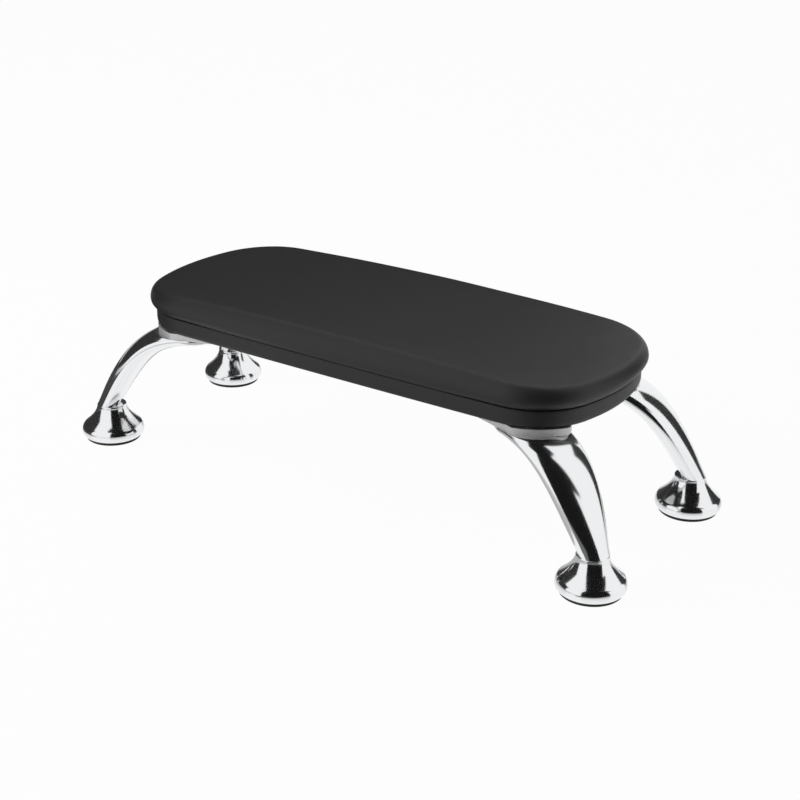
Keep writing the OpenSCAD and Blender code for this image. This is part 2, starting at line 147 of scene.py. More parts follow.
class Shader:
    """A node tree under construction, of a material or of the world."""

    def __init__(self, tree: bpy.types.NodeTree, output: str) -> None:
        """Empties the tree and adds its output node.

        Args:
            tree: The node tree to fill.
            output: The type of the output node.
        """
        self.tree = tree
        self.tree.nodes.clear()
        self.output = self.tree.nodes.new(output)

    def node(self, kind: str, settings: dict[str, Any] | None = None,
             sockets: Sockets | None = None, out: int | str = 0) -> Value:
        """Adds a node.

        Args:
            kind: The node's type.
            settings: Properties of the node, set first; stops holds a ramp's places and greys.
            sockets: A value or a link for each input, by index or name.
            out: The output to return, by index or name.

        Returns:
            The node's output.
        """
        made = self.tree.nodes.new(kind)
        for name, setting in (settings or {}).items():
            if name == "stops":
                self._set_stops(made.color_ramp, setting)
            else:
                setattr(made, name, setting)
        for key, value in (sockets or {}).items():
            if isinstance(value, Value):
                self.tree.links.new(value.socket, made.inputs[key])
            else:
                made.inputs[key].default_value = value
        return Value(self, made.outputs[out])

    @staticmethod
    def _set_stops(ramp: bpy.types.ColorRamp, stops: Sequence[tuple[float, float]]) -> None:
        """Fills a ramp.

        Args:
            ramp: The ramp, with its first and last stop.
            stops: The place and the grey of each stop.
        """
        for _ in range(len(stops) - 2):
            ramp.elements.new(0.5)
        for element, (place, level) in zip(ramp.elements, stops):
            element.position = place
            element.color = grey(level)

    def finish(self, surface: Value) -> None:
        """Links the surface shader to the output."""
        self.tree.links.new(surface.socket, self.output.inputs["Surface"])

    def place(self) -> Value:
        """The point on the surface in the object's own metres."""
        return self.node("ShaderNodeTexCoord", out="Object")

    def noise(self, grain: Grain) -> Value:
        """A noise from 0 to 1, over the object's own metres.

        Args:
            grain: Its waves and octaves.

        Returns:
            The noise.
        """
        where, scale = self.place(), grain.waves
        if isinstance(scale, tuple):
            where = self.node("ShaderNodeMapping", None, {"Vector": where, "Scale": scale})
            scale = 1.0
        return self.node("ShaderNodeTexNoise", None,
                         {"Vector": where, "Scale": scale,
                          "Detail": grain.octaves, "Roughness": grain.finer})

    def cells(self, size: float, settings: dict[str, Any] | None = None, **more: Any) -> Value:
        """The distance from the middle of cells of a size."""
        return self.node("ShaderNodeTexVoronoi", settings,
                         {"Vector": self.place(), "Scale": 1 / size, **more})

    def ramp(self, value: Value, stops: Sequence[tuple[float, float]]) -> Value:
        """A value led through places and greys."""
        return self.node("ShaderNodeValToRGB", {"stops": stops}, {0: value})

    def mix(self, share: Any, first: Any, second: Any) -> Value:
        """A blend of two colours."""
        return self.node("ShaderNodeMix", {"data_type": "RGBA"}, {0: share, 6: first, 7: second}, 2)

    def blend(self, share: Value, first: Value, second: Value) -> Value:
        """A blend of two surfaces."""
        return self.node("ShaderNodeMixShader", None, {0: share, 1: first, 2: second})

    def glow(self, level: float = 1.0) -> Value:
        """A surface of an even grey that no light changes."""
        return self.node("ShaderNodeEmission", None, {"Color": grey(level), "Strength": 1.0})

    def ray(self, kind: str, *more: str) -> Value:
        """1 where the ray is of one of the kinds, and 0 elsewhere."""
        found = self.node("ShaderNodeLightPath", out=kind)
        return found.largest(self.ray(*more)) if more else found

    def bump(self, height: Value, relief: Relief, over: Value | None = None) -> Value:
        """A bumped normal.

        Args:
            height: Height from 0 to 1.
            relief: How deep it goes.
            over: A normal that this one lies on.

        Returns:
            The normal.
        """
        under = {} if over is None else {"Normal": over}
        return self.node("ShaderNodeBump", None, {"Height": height, "Distance": relief.depth,
                                                  "Strength": relief.share, **under})


@dataclass(frozen=True)
class Finish:
    """A finish that makes one material; its roughness changes by a spread where it wears."""

    name: str = "finish"
    dark: Colour = grey(0.0)
    light: Colour = grey(1.0)
    metallic: float = 0.0
    roughness: float = 0.5
    spread: float = 0.1
    reliefs: tuple[Relief, ...] = ()

    def material(self) -> bpy.types.Material:
        """Makes the material, unless it was made before.

        Returns:
            The material of the finish's name.
        """
        known = bpy.data.materials.get(self.name)
        if known is not None:
            return known
        made = bpy.data.materials.new(self.name)
        made.use_nodes = True
        shader = Shader(made.node_tree, "ShaderNodeOutputMaterial")
        shader.finish(self.surface(shader))
        return made

    def surface(self, shader: Shader) -> Value:
        """Builds the Principled surface out of the layers, each height bumped over the last.

        Args:
            shader: The material's node tree.

        Returns:
            The surface.
        """
        colour, wear, *heights = self.layers(shader)
        normal = None
        for height, relief in zip(heights, self.reliefs):
            normal = shader.bump(height, relief, normal)
        return shader.node("ShaderNodeBsdfPrincipled", None,
                           {"Base Color": colour, "Metallic": self.metallic,
                            "Roughness": self.roughness + self.spread * wear, "Normal": normal})

    def layers(self, shader: Shader) -> Layers:
        """Colour, wear and the heights; each finish has its own."""
        raise NotImplementedError

    def toned(self, share: Value) -> Value:
        """The finish's colour between dark and light."""
        return share.shader.mix(share, self.dark, self.light)


@dataclass(frozen=True)
class Leatherette(Finish):
    """Smooth matte charcoal leatherette: a fine pebble grain with pores between the pebbles."""

    name: str = "charcoal_leatherette"
    dark: Colour = grey(0.011, -0.01)
    light: Colour = grey(0.015, -0.01)
    roughness: float = 0.46
    spread: float = 0.05
    reliefs: tuple[Relief, ...] = (Relief(0.5 * MM, 0.25), Relief(0.035 * MM, 0.8),
                                   Relief(0.02 * MM, 0.6))
    cloud_share: float = 0.6
    mottle_wear: float = 1.2
    pebble: float = 0.9 * MM
    pebble_blend: float = 0.6
    pores: Grain = Grain(1 / (0.35 * MM), 3, 0.6)
    clouds: Grain = Grain(22, 3)
    mottle: Grain = Grain(240, 2, 0.55)

    def layers(self, shader: Shader) -> Layers:
        """Mottled colour and roughness, over soft dents, pebbles and pores.

        Args:
            shader: The material's node tree.

        Returns:
            Colour, wear and the three heights.
        """
        cells = shader.cells(self.pebble, {"feature": "SMOOTH_F1"}, Smoothness=self.pebble_blend)
        clouds, mottle = shader.noise(self.clouds), shader.noise(self.mottle)
        colour = self.toned(clouds * self.cloud_share + mottle * (1 - self.cloud_share))
        wear = cells + self.mottle_wear * (mottle - MIDDLE)
        return colour, wear, clouds, 1 - cells, shader.noise(self.pores)


@dataclass(frozen=True)
class Chrome(Finish):
    """Polished chrome plating with a slight waviness and faint wiping marks."""

    name: str = "leg_chrome"
    dark: Colour = grey(0.94, -0.008)
    light: Colour = grey(0.99, -0.004)
    metallic: float = 1.0
    roughness: float = 0.035
    spread: float = 0.03
    reliefs: tuple[Relief, ...] = (Relief(0.05 * MM, 0.5),)
    clouds: Grain = Grain(60)
    wipes: Grain = Grain((900, 900, 120), 3, 0.6)
    waves: Grain = Grain(1 / (9 * MM), 1, 0.4)

    def layers(self, shader: Shader) -> Layers:
        """Polish that varies in soft clouds and fine streaks, over waves."""
        clouds = shader.noise(self.clouds)
        return self.toned(clouds), clouds * shader.noise(self.wipes), shader.noise(self.waves)


@dataclass(frozen=True)
class SatinSteel(Finish):
    """Satin-plated sheet steel with a fine rolled grain and a cloudy plating."""

    name: str = "plate_satin_steel"
    dark: Colour = grey(0.7912, -0.01)
    light: Colour = grey(0.86, 0.01)
    metallic: float = 1.0
    roughness: float = 0.60
    spread: float = 0.12
    reliefs: tuple[Relief, ...] = (Relief(0.02 * MM, 0.4),)
    cloud_wear: float = 0.5
    streaks: Grain = Grain((120, 2600, 2600), 3, 0.6)
    clouds: Grain = Grain(70, 3, 0.55)

    def layers(self, shader: Shader) -> Layers:
        """Streaks along the sheet under clouds."""
        streaks, clouds = shader.noise(self.streaks), shader.noise(self.clouds)
        return self.toned(clouds), streaks - MIDDLE + self.cloud_wear * clouds, streaks


@dataclass(frozen=True)
class ZincPlate(Finish):
    """Zinc plating on screws and staples, with a faint crystal bloom."""

    name: str = "zinc_plated_steel"
    dark: Colour = grey(0.504, -0.015)
    light: Colour = grey(0.56, 0.015)
    metallic: float = 1.0
    roughness: float = 0.32
    reliefs: tuple[Relief, ...] = (Relief(0.02 * MM, 0.5),)
    bloom: float = 0.8 * MM
    clouds: Grain = Grain(500)

    def layers(self, shader: Shader) -> Layers:
        """Small patches of more and less polish."""
        clouds = shader.noise(self.clouds)
        return self.toned(clouds), shader.cells(self.bloom), clouds


@dataclass(frozen=True)
class Rubber(Finish):
    """Black rubber with a dull moulded skin, finely pitted."""

    name: str = "glide_rubber"
    dark: Colour = grey(0.012)
    light: Colour = grey(0.022, 0.02)
    roughness: float = 0.62
    spread: float = 0.12
    reliefs: tuple[Relief, ...] = (Relief(0.04 * MM, 0.5),)
    pits: Grain = Grain(2500, 3, 0.6)
    scuffs: Grain = Grain(300)

    def layers(self, shader: Shader) -> Layers:
        """Scuffs over pits."""
        scuffs = shader.noise(self.scuffs)
        return self.toned(scuffs), scuffs, shader.noise(self.pits)


@dataclass(frozen=True)
class LiningCloth(Finish):
    """Thin black cloth of pressed fibres, bonded smoother in small dots."""

    name: str = "lining_cloth"
    dark: Colour = grey(0.008)
    light: Colour = grey(0.024)
    roughness: float = 0.9
    spread: float = -0.15
    reliefs: tuple[Relief, ...] = (Relief(0.12 * MM, 0.7),)
    fibre_share: float = 0.6
    dot: float = 1.6 * MM
    dot_scatter: float = 0.15
    along: Grain = Grain((3200, 900, 900), 4, 0.7)
    across: Grain = Grain((900, 3200, 900), 4, 0.7)

    def layers(self, shader: Shader) -> Layers:
        """Fibres in every direction, pressed flat in the dots.

        Args:
            shader: The material's node tree.

        Returns:
            Colour, wear and height.
        """
        dots = shader.cells(self.dot, Randomness=self.dot_scatter)
        fibres = shader.noise(self.along).largest(shader.noise(self.across))
        height = fibres * self.fibre_share + dots * (1 - self.fibre_share)
        return self.toned(fibres), dots, height


@dataclass(frozen=True)
class Plywood(Finish):
    """Unfinished birch plywood: long grain over thin plies that show at the edge."""

    name: str = "birch_plywood"
    dark: Colour = (0.50, 0.33, 0.17, 1.0)
    light: Colour = (0.68, 0.50, 0.31, 1.0)
    glue: Colour = (0.42, 0.27, 0.14, 1.0)
    glue_share: float = 0.35
    roughness: float = 0.62
    spread: float = 0.15
    reliefs: tuple[Relief, ...] = (Relief(0.08 * MM, 0.5),)
    ply_waves: float = 180.0
    ply_waviness: float = 0.3
    grain: Grain = Grain((25, 420, 420), 4, 0.6)

    def layers(self, shader: Shader) -> Layers:
        """Grain along the pad, and lines of glue between the plies.

        Args:
            shader: The material's node tree.

        Returns:
            Colour, wear and height.
        """
        grain = shader.noise(self.grain)
        plies = shader.node("ShaderNodeTexWave", {"bands_direction": "Z"},
                            {"Vector": shader.place(), "Scale": self.ply_waves,
                             "Distortion": self.ply_waviness})
        colour = shader.mix(plies * self.glue_share, self.toned(grain), self.glue)
        return colour, grain, grain


@dataclass(frozen=True)
class Foam(Finish):
    """Pale yellow open-cell foam with thin partitions between its cells, and painted shade in the
    cells' hollows.
    """

    name: str = "upholstery_foam"
    dark: Colour = (0.62, 0.55, 0.36, 1.0)
    light: Colour = (0.86, 0.80, 0.62, 1.0)
    roughness: float = 0.95
    spread: float = -0.1
    reliefs: tuple[Relief, ...] = (Relief(0.6 * MM, 0.8),)
    cell: float = 1.4 * MM
    # Ramp from cell distance to colour: painted shade, dark in the hollows and light on the cell
    # rims.
    hollow_shade_stops: tuple[tuple[float, float], ...] = ((0.0, 0.0), (0.45, 1.0))

    def layers(self, shader: Shader) -> Layers:
        """Open cells, with painted shade: darkest in the middle of each hollow and lightest at its
        rim.
        """
        cells = shader.cells(self.cell)
        return self.toned(shader.ramp(cells, self.hollow_shade_stops)), cells, cells


# Mesh building


def put(name: str, data: Any) -> bpy.types.Object:
    """Makes an object of its data and links it to the scene.

    Args:
        name: The object's name.
        data: Its mesh, camera or lamp.

    Returns:
        The object.
    """
    made = bpy.data.objects.new(name, data)
    bpy.context.scene.collection.objects.link(made)
    return made


def arc(start: float, stop: float, steps: int) -> Section:
    """Cosine and sine of even steps between two angles in degrees."""
    turns = [math.radians(degrees) for degrees in np.linspace(start, stop, steps + 1)]
    return [(math.cos(turn), math.sin(turn)) for turn in turns]


def lifted(line: np.ndarray, z: np.ndarray | float) -> Ring:
    """A level line put at a height, or each of its points at its own."""
    return np.column_stack([line, np.broadcast_to(z, len(line))])


def faded(values: np.ndarray, length: float) -> np.ndarray:
    """A fade from 0 at zero to 1 at a length."""
    return np.clip(values / length, 0, 1)


def drift(places: Iterable[Sequence[float]], size: float = 1.0) -> np.ndarray:
    """Soft noise from -1 to 1 at each place, in waves of a size."""
    return np.array([noise.noise(Vector(place) / size) for place in places])


@dataclass
class Form:
    """Points and faces of a mesh under construction."""

    points: list[tuple[float, float, float]] = field(default_factory=list)
    faces: list[tuple[int, ...]] = field(default_factory=list)
    rows: list[list[int]] = field(default_factory=list)

    def add_row(self, ring: Ring) -> None:
        """Adds one ring; points of it that coincide become one.

        Args:
            ring: The ring's points.
        """
        known: dict[tuple[float, float, float], int] = {}
        row = []
        for point in ring:
            key = tuple(round(float(c), 8) for c in point)
            if key not in known:
                known[key] = len(self.points)
                self.points.append(tuple(float(c) for c in point))
            row.append(known[key])
        self.rows.append(row)

    def add_face(self, corners: Sequence[int]) -> None:
        """Adds a face, unless too many of its corners coincide.

        Args:
            corners: The points' numbers, round the face.
        """
        kept = tuple(dict.fromkeys(corners))
        if len(kept) > 2:
            self.faces.append(kept)

    def bridge(self, low: list[int], high: list[int]) -> None:
        """Joins two rows round."""
        for corners in zip(low, low[1:] + low[:1], high[1:] + high[:1], high):
            self.add_face(corners)

    @classmethod
    def loft(cls, rings: Rings, ends: Ends = Ends.OPEN) -> "Form":
        """Makes a form through rings of equal count.

        Args:
            rings: The rings, each counter-clockwise seen from the last one.
            ends: How the first and the last ring are closed.

        Returns:
            The form.
        """
        form = cls()
        for ring in rings:
            form.add_row(ring)
        for low, high in zip(form.rows, form.rows[1:]):
            form.bridge(low, high)
        if ends is Ends.LOOP:
            form.bridge(form.rows[-1], form.rows[0])
        if ends is Ends.CAPPED:
            form.add_face(tuple(reversed(form.rows[0])))
            form.add_face(tuple(form.rows[-1]))
        return form

    def piece(self, name: str, finish: Finish, crease: float = 35.0) -> bpy.types.Object:
        """Makes the object, smooth but for edges sharper than an angle.

        Args:
            name: The piece's name.
            finish: Its finish.
            crease: Degrees between two faces from which their edge stays sharp.

        Returns:
            The object, in the scene.
        """
        mesh = bpy.data.meshes.new(name)
        mesh.from_pydata(self.points, [], self.faces)
        build = bmesh.new()
        build.from_mesh(mesh)
        bmesh.ops.recalc_face_normals(build, faces=build.faces)
        for face in build.faces:
            face.smooth = True
        for edge in build.edges:
            if len(edge.link_faces) == 2:
                edge.smooth = edge.calc_face_angle(0.0) < math.radians(crease)
        build.to_mesh(mesh)
        build.free()
        mesh.materials.append(finish.material())
        return put(name, mesh)


def apply_modifiers(piece: bpy.types.Object) -> None:
    """Puts what the modifiers make in the piece's own mesh.

    Args:
        piece: The piece.
    """
    graph = bpy.context.evaluated_depsgraph_get()
    shaped = bpy.data.meshes.new_from_object(piece.evaluated_get(graph))
    old = piece.data
    piece.modifiers.clear()
    piece.data = shaped
    bpy.data.meshes.remove(old)


def register(piece: bpy.types.Object, slot: str, *nodes: str) -> None:
    """Lets a piece ride on the body and stand for CAD nodes.

    Args:
        piece: The piece.
        slot: Not used.
        nodes: The CAD nodes that it stands for.
    """
    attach(piece, BODY)
    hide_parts(*nodes)
    log.info("%s: %d faces, stands for %s", piece.name, len(piece.data.polygons), nodes)


def turned(profile: Section, sides: int, centre: tuple[float, float]) -> Rings:
    """Rings of a profile of radii and heights turned about an upright axis."""
    angles = np.linspace(0, 2 * math.pi, sides, endpoint=False)
    return [np.stack([centre[0] + radius * np.cos(angles), centre[1] + radius * np.sin(angles),
                      np.full(sides, height)], 1) for radius, height in profile]


# The pad


@dataclass
class PadShape:
    """The pad's outline and heights, the same as in the CAD."""

    length: float = 390 * MM
    width: float = 160 * MM
    base_z: float = 100 * MM
    corner: float = 54 * MM
    end_bow: float = 3.5 * MM
    side_bow: float = 0.8 * MM
    edge_h: float = 15.5 * MM
    bulge_h: float = 7 * MM
    bulge_out: float = 6.5 * MM
    edge_round: float = 7.5 * MM
    crown_l: float = 5.8 * MM
    crown_w: float = 1.2 * MM
    cover: float = 1.2 * MM
    seam_turn: float = 8 * MM
    board: float = 10 * MM
    band_in: float = 5 * MM
    band_round: float = 0.8 * MM
    band_under: float = 2 * MM
    under_h: float = 4 * MM
    hem: float = 18 * MM
    cloth: float = 0.6 * MM
    cloth_in: float = 8 * MM
    gap: float = 0.3 * MM
    end_steps: int = 5
    arc_steps: int = 16
    side_steps: int = 28

    def __post_init__(self) -> None:
        """Works out the heights of the layers and the stations of the outline."""
        self.hem_z = self.base_z + self.cloth + self.gap
        self.board_z = self.hem_z + self.cover
        self.board_top = self.board_z + self.board
        self.seam_z = self.board_top + self.cover
        self.bulge_z = self.seam_z + self.bulge_h
        self.edge_z = self.seam_z + self.edge_h
        self.seam_in = self.bulge_out + self.seam_turn
        self.hem_in = self.band_in + self.hem
        self.spine = (self.length - self.width) / 2
        self.base, self.out = self._stations()

    def _stations(self) -> tuple[np.ndarray, np.ndarray]:
        """Points of the inner line and the outward direction at each.

        Returns:
            The points, and the directions.
        """
        end_x = self.length / 2 - self.corner
        side_y = self.width / 2 - self.corner
        arc_x, arc_y = end_x - self.end_bow, side_y - self.side_bow
        start = math.atan2(2 * self.end_bow, arc_y)
        stop = math.atan2(arc_x, 2 * self.side_bow)
        quarter = []
        for t in np.linspace(0, 1, self.end_steps, endpoint=False):
            quarter.append((end_x - self.end_bow * t * t, arc_y * t, arc_y, 2 * self.end_bow * t))
        for angle in np.linspace(start, stop, self.arc_steps + 1):
            quarter.append((arc_x, arc_y, math.cos(angle), math.sin(angle)))
        for t in np.linspace(1, 0, self.side_steps + 1)[1:]:
            quarter.append((arc_x * t, side_y - self.side_bow * t * t,
                            2 * self.side_bow * t, arc_x))
        first = np.array(quarter)
        flips = (np.array((-1, 1, -1, 1)), np.array((-1, -1, -1, -1)), np.array((1, -1, 1, -1)))
        whole = np.concatenate([first, first[-2::-1] * flips[0], first[1:] * flips[1],
                                first[-2:0:-1] * flips[2]])
        out = whole[:, 2:] / np.linalg.norm(whole[:, 2:], axis=1)[:, None]
        return whole[:, :2], out

    def outline(self, inset: float) -> np.ndarray:
        """The outline drawn in from the widest bulge."""
        return self.base + (self.corner - inset) * self.out

    def flat_ring(self, inset: float, z: float) -> Ring:
        """The outline at one height."""
        return lifted(self.outline(inset), z)

    def rise(self, x: np.ndarray) -> np.ndarray:
        """Rise of the top along the pad."""
        return self.crown_l * (1 - (2 * x / self.length) ** 2)

    def side_ring(self, angle: float, skin: float) -> Ring:
        """A ring of the cushion's side.

        Args:
            angle: Degrees, below zero under the bulge and above it over the edge.
            skin: Depth below the cushion's own surface.

        Returns:
            The ring.
        """
        reach = self.bulge_out if angle < 0 else self.edge_round
        height = self.bulge_h if angle < 0 else self.edge_h - self.bulge_h
        turn = math.radians(angle)
        line = self.outline(skin + (reach - skin) * (1 - math.cos(turn)))
        z = self.bulge_z + (height - skin) * math.sin(turn)
        return lifted(line, z + max(0.0, math.sin(turn)) * self.rise(line[:, 0]))

    def inward(self, line: np.ndarray, share: float) -> np.ndarray:
        """A line drawn towards the pad's spine, to a share of its distance."""
        spine = lifted(np.clip(line[:, :1], -self.spine, self.spine), 0.0)
        return spine + share * (line - spine)

    def top_ring(self, share: float, skin: float) -> Ring:
        """A ring of the cushion's top, at a share of the way from spine to edge.

        Args:
            share: The share.
            skin: Depth below the cushion's surface.

        Returns:
            The ring.
        """
        line = self.inward(self.outline(self.edge_round), share)
        z = self.edge_z - skin + self.crown_w * (1 - share * share)
        return lifted(line, z + self.rise(line[:, 0]))

    def floor_ring(self, inset: float, share: float, z: float) -> Ring:
        """A ring of a flat underside."""
        return lifted(self.inward(self.outline(inset), share), z)

    def cornered(self) -> np.ndarray:
        """How far each station is into a corner's arc, from 0 to 1."""
        return np.clip(4 * np.abs(self.out[:, 0] * self.out[:, 1]) ** 1.5, 0, 1)


@dataclass
class Cushion:
    """The leatherette cover, blown up by a cloth simulation, and the foam inside it."""

    shape: PadShape
    swell: float = 1.0 * MM
    least: float = 0.7 * MM
    most: float = 1.3 * MM
    frames: int = 20
    ironing: int = 4
    pucker: float = 0.16 * MM
    pucker_pitch: float = 9 * MM
    pucker_line: tuple[float, float] = (0.3, 0.7)
    pucker_drift: float = 14 * MM
    pucker_wander: float = 5.0
    pucker_least: float = 0.6
    pucker_more: float = 0.8
    pucker_start: float = 1.5 * MM
    pucker_rise: float = 3 * MM
    dimple: float = 0.22 * MM
    dimple_size: float = 55 * MM
    dimple_start: float = 4 * MM
    top_steps: int = 14
    low_angles: tuple[float, ...] = (-90, -76, -62, -46, -30, -15)
    high_angles: tuple[float, ...] = (0, 14, 28, 42, 56, 68, 80, 90)
    fabric: dict[str, Any] = field(default_factory=lambda: {
        "quality": 8,
        "mass": 0.4,
        "tension_stiffness": 40,
        "compression_stiffness": 40,
        "shear_stiffness": 20,
        "bending_stiffness": 6,
        "vertex_group_mass": "held",
        "use_pressure": True,
        "uniform_pressure_force": 4.0,
    })

    def cover_rings(self, skin: float) -> Rings:
        """Rings of the outside, from the turned-in edge at the seam to the spine.

        Args:
            skin: Depth below the cushion's own surface.

        Returns:
            The rings.
        """
        shape = self.shape
        rings = [shape.flat_ring(shape.seam_in, shape.seam_z),
                 shape.flat_ring((shape.seam_in + shape.bulge_out) / 2, shape.seam_z)]
        rings += [shape.side_ring(angle, skin) for angle in self.low_angles + self.high_angles]
        return rings + self.top_rings(skin)

    def top_rings(self, skin: float) -> Rings:
        """Rings of the top, from within its edge to the spine."""
        steps = range(self.top_steps - 1, -1, -1)
        return [self.shape.top_ring(k / self.top_steps, skin) for k in steps]

    def blown(self) -> Rings:
        """The cover's rings after the cloth simulation has filled them.

        Returns:
            The rings.
        """
        shape = self.shape
        rings = self.cover_rings(self.swell)
        steps = range(self.top_steps)
        closing = [shape.floor_ring(shape.seam_in, k / self.top_steps, shape.seam_z) for k in steps]
        form = Form.loft(closing + rings)
        flat = np.array(form.points)
        outward = self._outward(form)
        puff = ((self._simulated(form) - flat) * outward).sum(1)
        puff = self._ironed(np.clip(puff, self.least, self.most), form)
        final = flat + outward * puff[:, None]
        log.info("cover lies %.2f mm further out on average", float(puff.mean()) / MM)
        return [final[row] for row in form.rows[len(closing):]]

    def _ironed(self, puff: np.ndarray, form: Form) -> np.ndarray:
        """Evens the swelling out between neighbours, and brings its middle value to the swell.

        Args:
            puff: How far each point has moved outwards.
            form: The cover's points and rows.

        Returns:
            The evened movements.
        """
        rows = np.array(form.rows)
        for _ in range(self.ironing):
            sheet = puff[rows]
            around = (np.roll(sheet, 1, 1) + np.roll(sheet, -1, 1)) / 2
            up = (np.vstack([sheet[:1], sheet[:-1]]) + np.vstack([sheet[1:], sheet[-1:]])) / 2
            total, count = np.zeros(len(puff)), np.zeros(len(puff))
            np.add.at(total, rows, (sheet * 2 + around + up) / 4)
            np.add.at(count, rows, 1.0)
            puff = total / np.maximum(count, 1)
        return puff + self.swell - float(np.median(puff[rows[-self.top_steps:]]))

    def _outward(self, form: Form) -> np.ndarray:
        """Outward directions at the points that aren't held.

        Args:
            form: The cover.

        Returns:
            A direction for each point, zero where it is held.
        """
        mesh = bpy.data.meshes.new("cover_directions")
        mesh.from_pydata(form.points, [], form.faces)
        normals = np.array([v.normal for v in mesh.vertices])
        bpy.data.meshes.remove(mesh)
        free = np.array([p[2] > self.shape.seam_z + self.shape.gap for p in form.points])
        return normals * free[:, None]

    def _simulated(self, form: Form) -> np.ndarray:
        """Blows the cover up in a cloth simulation, with its flat underside held.

        Args:
            form: The cover, closed below.

        Returns:
            The points.
        """
        piece = form.piece("cover_cloth", Leatherette())
        held = piece.vertex_groups.new(name="held")
        level = self.shape.seam_z + self.shape.gap
        held.add([i for i, p in enumerate(form.points) if p[2] <= level], 1.0, "REPLACE")
        cloth = piece.modifiers.new("cloth", "CLOTH")
        for name, value in self.fabric.items():
            setattr(cloth.settings, name, value)
        cloth.settings.effector_weights.gravity = 0
        cloth.point_cache.frame_start = 1
        cloth.point_cache.frame_end = self.frames
        scene = bpy.context.scene
        for number in range(1, self.frames + 1):
            scene.frame_set(number)
        shaped = piece.evaluated_get(bpy.context.evaluated_depsgraph_get()).data
        points = np.array([tuple(v.co) for v in shaped.vertices])
        scene.frame_set(1)
        mesh = piece.data
        bpy.data.objects.remove(piece)
        bpy.data.meshes.remove(mesh)
        return points

    def dressed(self, rings: Rings) -> Rings:
        """Adds shallow dimples, and puckers at the corners that fade away from the seam.

        Args:
            rings: The cover's rings.

        Returns:
            The rings, dressed.
        """
        shape = self.shape
        line = shape.outline(0)
        steps = np.linalg.norm(np.roll(line, -1, 0) - line, axis=1)
        along = np.concatenate([[0.0], np.cumsum(steps)[:-1]])
        cornered = shape.cornered()
        out = lifted(shape.out, 0.0)
        jitter = drift((s / self.pucker_drift, *self.pucker_line) for s in along)
        waves = np.sin(2 * math.pi * along / self.pucker_pitch + self.pucker_wander * jitter)
        strength = self.pucker_least + self.pucker_more * np.abs(jitter)
        result = []
        for ring in rings:
            height = ring[:, 2]
            low = faded(shape.bulge_z + self.pucker_rise - height, shape.bulge_h)
            low *= faded(height - shape.seam_z, self.pucker_start)
            push = self.pucker * low * cornered * waves * strength
            moved = ring + out * push[:, None]
            free = faded(height - shape.bulge_z, self.dimple_start)
            moved[:, 2] += self.dimple * drift(moved, self.dimple_size) * free
            result.append(moved)
        return result

    def build_cover(self) -> None:
        """The leatherette cover as a shell, its edge turned in at the seam."""
        piece = Form.loft(self.dressed(self.blown())).piece("pad_cover", Leatherette())
        finer = piece.modifiers.new("finer", "SUBSURF")
        finer.levels = finer.render_levels = 1
        wall = piece.modifiers.new("wall", "SOLIDIFY")
        wall.thickness = self.shape.cover
        wall.offset = -1
        wall.use_even_offset = False
        apply_modifiers(piece)
        register(piece, "leatherette", "top_panel")

    def build_foam(self) -> None:
        """The foam block, cut to lie inside the cover and on the board."""
        shape = self.shape
        skin = shape.cover + shape.gap + self.swell
        lift = shape.seam_z + shape.cover + shape.gap
        under = shape.seam_in + shape.gap
        rings = [shape.floor_ring(under, k / self.top_steps, shape.board_top)
                 for k in range(self.top_steps + 1)]
        rings += [shape.flat_ring(under, lift), shape.flat_ring(shape.bulge_out + skin, lift)]
        rings += [shape.side_ring(angle, skin) for angle in self.low_angles[2:] + self.high_angles]
        piece = Form.loft(rings + self.top_rings(skin)).piece("pad_foam", Foam())
        register(piece, "foam", "foam_core")


